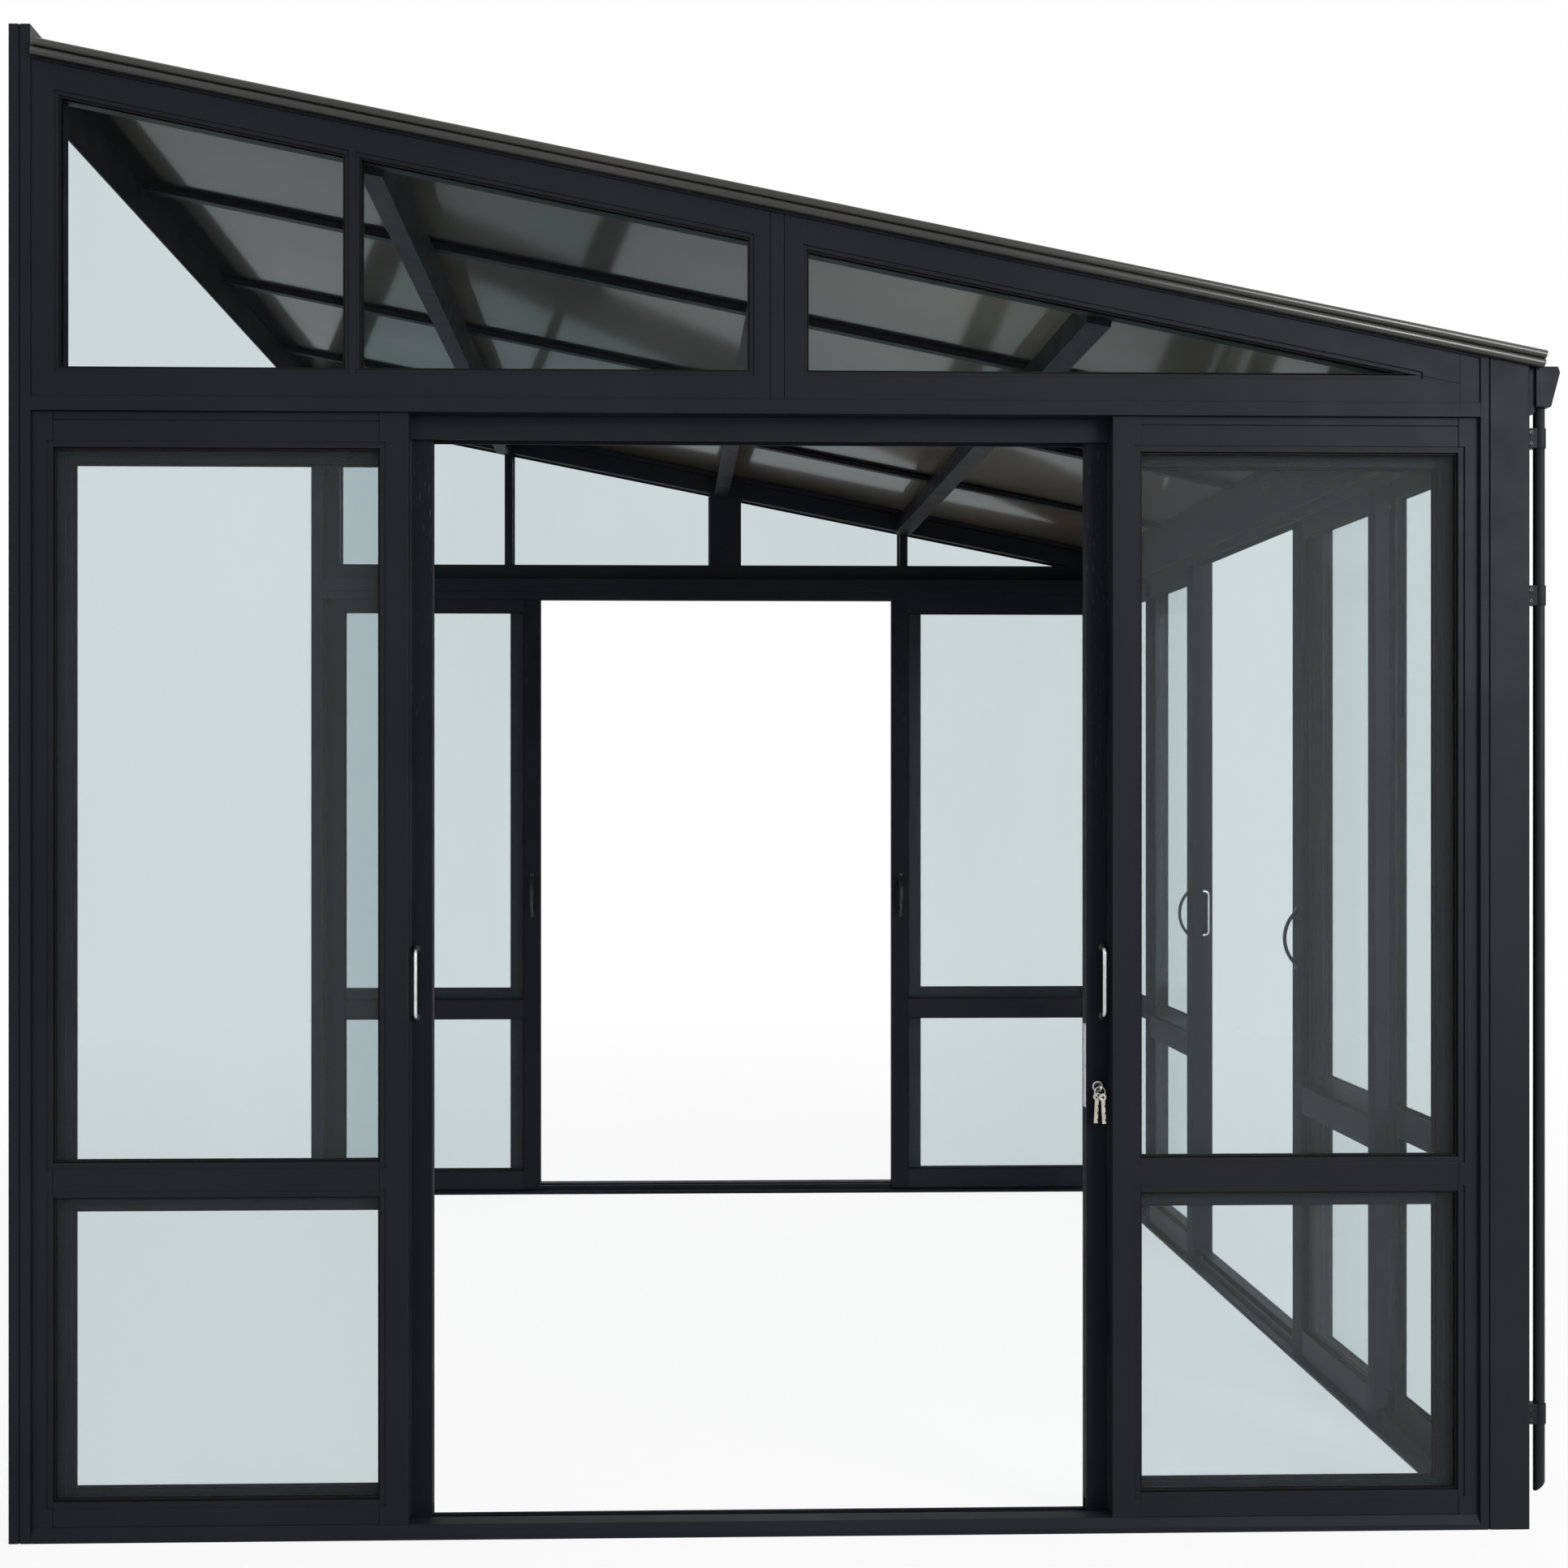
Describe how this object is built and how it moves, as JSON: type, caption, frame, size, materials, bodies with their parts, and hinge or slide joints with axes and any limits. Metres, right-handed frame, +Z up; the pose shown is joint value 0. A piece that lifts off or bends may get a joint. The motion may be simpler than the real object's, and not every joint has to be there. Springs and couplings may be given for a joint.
{
  "type": "lean-to glass garden room",
  "caption": "Lean-to garden room in dark powder-coated aluminium with glazed walls, sliding doors on three sides, glazed gables, a tinted glass roof, a gutter and a downpipe.",
  "frame": {"origin": "on the floor, under the middle of the whole object's box", "axes": "+Z up; the front gable faces -Y, the house side is -X and the eave with the gutter is +X"},
  "size_m": [3.062, 3.028, 2.965],
  "materials": {
    "frame_coat": "fine satin powder coat, near black with a cool cast",
    "wall_glass": "clear toughened glass with a pale cool tint",
    "roof_glass": "smoked laminated glass",
    "door_pull": "satin silver outside, black inside",
    "lock_steel": "satin silver"
  },
  "bodies": {
    "room_frame": {"back_fixed_glass": "wall_glass", "back_fixed_rails": "frame_coat", "back_fixed_stiles": "frame_coat", "back_track_sill": "frame_coat", "downpipe": "frame_coat", "eave_beam": "frame_coat", "eave_fixed_glass": "wall_glass", "eave_fixed_rails": "frame_coat", "eave_fixed_stiles": "frame_coat", "eave_posts": "frame_coat", "eave_track_sill": "frame_coat", "front_fixed_glass": "wall_glass", "front_fixed_rails": "frame_coat", "front_fixed_stiles": "frame_coat", "front_track_sill": "frame_coat", "gable_glass": "wall_glass", "gable_heads": "frame_coat", "gable_rafters": "frame_coat", "gable_rails": "frame_coat", "gable_stiles": "frame_coat", "gable_transoms": "frame_coat", "gutter": "frame_coat", "gutter_fascia": "frame_coat", "pipe_clips": "frame_coat", "roof_bars": "frame_coat", "roof_edge_trim": "frame_coat", "roof_glass": "roof_glass", "roof_purlins": "frame_coat", "wall_flashing": "frame_coat", "wall_ledger": "frame_coat", "wall_posts": "frame_coat"},
    "front_left_door": {"front_left_door_stiles": "frame_coat", "front_left_door_rails": "frame_coat", "front_left_door_glass": "wall_glass", "front_left_door_pulls": "door_pull"},
    "front_right_door": {"front_right_door_stiles": "frame_coat", "front_right_door_rails": "frame_coat", "front_right_door_glass": "wall_glass", "front_right_door_pulls": "door_pull", "front_right_door_lock": "lock_steel"},
    "back_left_door": {"back_left_door_stiles": "frame_coat", "back_left_door_rails": "frame_coat", "back_left_door_glass": "wall_glass", "back_left_door_pulls": "door_pull"},
    "back_right_door": {"back_right_door_stiles": "frame_coat", "back_right_door_rails": "frame_coat", "back_right_door_glass": "wall_glass", "back_right_door_pulls": "door_pull"},
    "eave_left_door": {"eave_left_door_stiles": "frame_coat", "eave_left_door_rails": "frame_coat", "eave_left_door_glass": "wall_glass", "eave_left_door_pulls": "door_pull"},
    "eave_right_door": {"eave_right_door_stiles": "frame_coat", "eave_right_door_rails": "frame_coat", "eave_right_door_glass": "wall_glass", "eave_right_door_pulls": "door_pull"}
  },
  "joints": [
    {"name": "front_left_door_slide", "type": "slide", "parent": "room_frame", "child": "front_left_door", "axis": [1, 0, 0], "range_m": [0, 0.65092]},
    {"name": "front_right_door_slide", "type": "slide", "parent": "room_frame", "child": "front_right_door", "axis": [-1, 0, 0], "range_m": [0, 0.65092]},
    {"name": "back_left_door_slide", "type": "slide", "parent": "room_frame", "child": "back_left_door", "axis": [-1, 0, 0], "range_m": [0, 0.63892]},
    {"name": "back_right_door_slide", "type": "slide", "parent": "room_frame", "child": "back_right_door", "axis": [1, 0, 0], "range_m": [0, 0.63892]},
    {"name": "eave_left_door_slide", "type": "slide", "parent": "room_frame", "child": "eave_left_door", "axis": [0, 1, 0], "range_m": [0, 0.42167]},
    {"name": "eave_right_door_slide", "type": "slide", "parent": "room_frame", "child": "eave_right_door", "axis": [0, -1, 0], "range_m": [0, 0.42167]}
  ]
}
